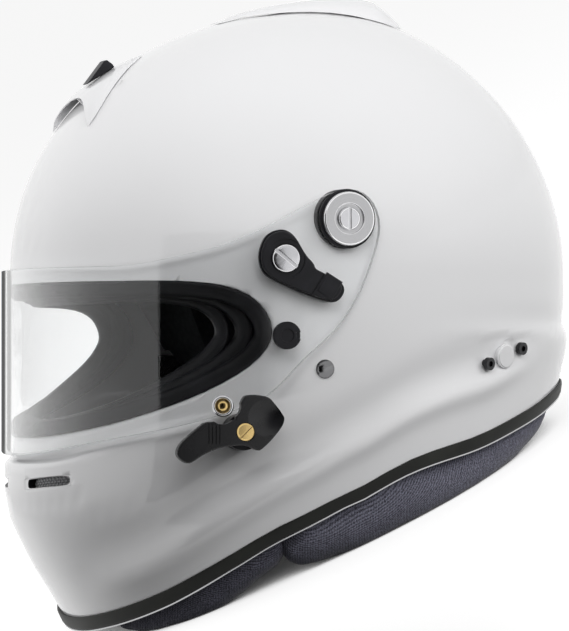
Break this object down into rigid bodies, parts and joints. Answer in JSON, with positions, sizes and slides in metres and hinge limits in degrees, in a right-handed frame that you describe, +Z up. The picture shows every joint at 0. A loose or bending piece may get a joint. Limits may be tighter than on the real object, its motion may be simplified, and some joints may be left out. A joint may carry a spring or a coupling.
{
  "type": "full-face racing helmet",
  "caption": "Full-face helmet with a small eyeport, hinged clear visor, side latch, air ducts, edge trim and knit-covered pads, standing on its pads.",
  "frame": {"origin": "middle of the footprint, on the table under the standing helmet", "axes": "+X to the wearer's left, -Y to the front, +Z up"},
  "size_m": [0.2672, 0.3426, 0.2792],
  "materials": {
    "white_gelcoat": "high gloss white gelcoat",
    "black_rubber": "satin black rubber",
    "clear_shield": "clear polished shield",
    "black_moulding": "satin black moulding",
    "brushed_disc": "brushed aluminium",
    "bright_screw": "polished",
    "brass_screw": "bright brass",
    "steel_parts": "stainless steel",
    "black_steel": "black oxide steel",
    "foam_liner": "dark grey expanded polystyrene",
    "knit_cover": "dark blue-grey fine knit over foam",
    "webbing": "black woven webbing"
  },
  "bodies": {
    "helmet": {"outer_shell": "white_gelcoat", "shell_trim": "black_rubber", "eyeport_gasket": "black_rubber", "visor_pivot_bosses": "black_moulding", "visor_pivot_rings": "black_moulding", "visor_pivot_discs": "brushed_disc", "visor_pivot_screws": "bright_screw", "visor_pivot_nuts": "steel_parts", "latch_base": "black_moulding", "latch_screw": "brass_screw", "latch_nut": "steel_parts", "brow_duct": "white_gelcoat", "top_duct": "white_gelcoat", "chin_vent_grilles": "black_steel", "strap_rivets": "steel_parts", "anchor_screws": "black_steel", "anchor_plugs": "white_gelcoat", "anchor_plates": "steel_parts", "impact_liner": "foam_liner", "chin_liner": "foam_liner", "crown_pad": "knit_cover", "cheek_pad_left": "knit_cover", "cheek_pad_right": "knit_cover", "neck_roll": "knit_cover", "chin_strap_left": "webbing", "chin_strap_right": "webbing"},
    "visor_unit": {"visor": "clear_shield", "lever_screws": "bright_screw", "tear_off_posts": "black_moulding", "latch_collar": "bright_screw", "latch_pin": "brass_screw"},
    "demist_left": {"demist_lever_left": "black_moulding"},
    "demist_right": {"demist_lever_right": "black_moulding"},
    "latch": {"latch_lever": "black_moulding"},
    "brow_shutter": {"brow_slider": "black_moulding"},
    "chin_shutter": {"chin_vent_shutter": "black_moulding"},
    "rings": {"d_rings": "steel_parts"}
  },
  "joints": [
    {"name": "visor_hinge", "type": "hinge", "parent": "helmet", "child": "visor_unit", "pos_m": [0, 0.0192, 0.1612], "axis": [-1, 0, 0], "range_deg": [0, 60]},
    {"name": "demist_left_hinge", "type": "hinge", "parent": "visor_unit", "child": "demist_left", "pos_m": [0.1245, -0.02036, 0.15659], "axis": [0.9906, -0.1241, 0.0579], "range_deg": [-30, 0]},
    {"name": "demist_right_hinge", "type": "hinge", "parent": "visor_unit", "child": "demist_right", "pos_m": [-0.1245, -0.02036, 0.15659], "axis": [-0.9906, -0.1241, 0.0579], "range_deg": [0, 30]},
    {"name": "latch_hinge", "type": "hinge", "parent": "helmet", "child": "latch", "pos_m": [0.1222, -0.07753, 0.08438], "axis": [0.9903, -0.1261, 0.0588], "range_deg": [-10, 0]},
    {"name": "brow_slide", "type": "slide", "parent": "helmet", "child": "brow_shutter", "axis": [0, 0.993, 0.1184], "range_m": [0, 0.006]},
    {"name": "chin_slide", "type": "slide", "parent": "helmet", "child": "chin_shutter", "axis": [0, 0.4226, 0.9063], "range_m": [0, 0.0115]},
    {"name": "ring_hinge", "type": "hinge", "parent": "helmet", "child": "rings", "pos_m": [0.0725, -0.05158, 0.02277], "axis": [0.0879, 0.9028, -0.421], "range_deg": [-30, 30]}
  ]
}
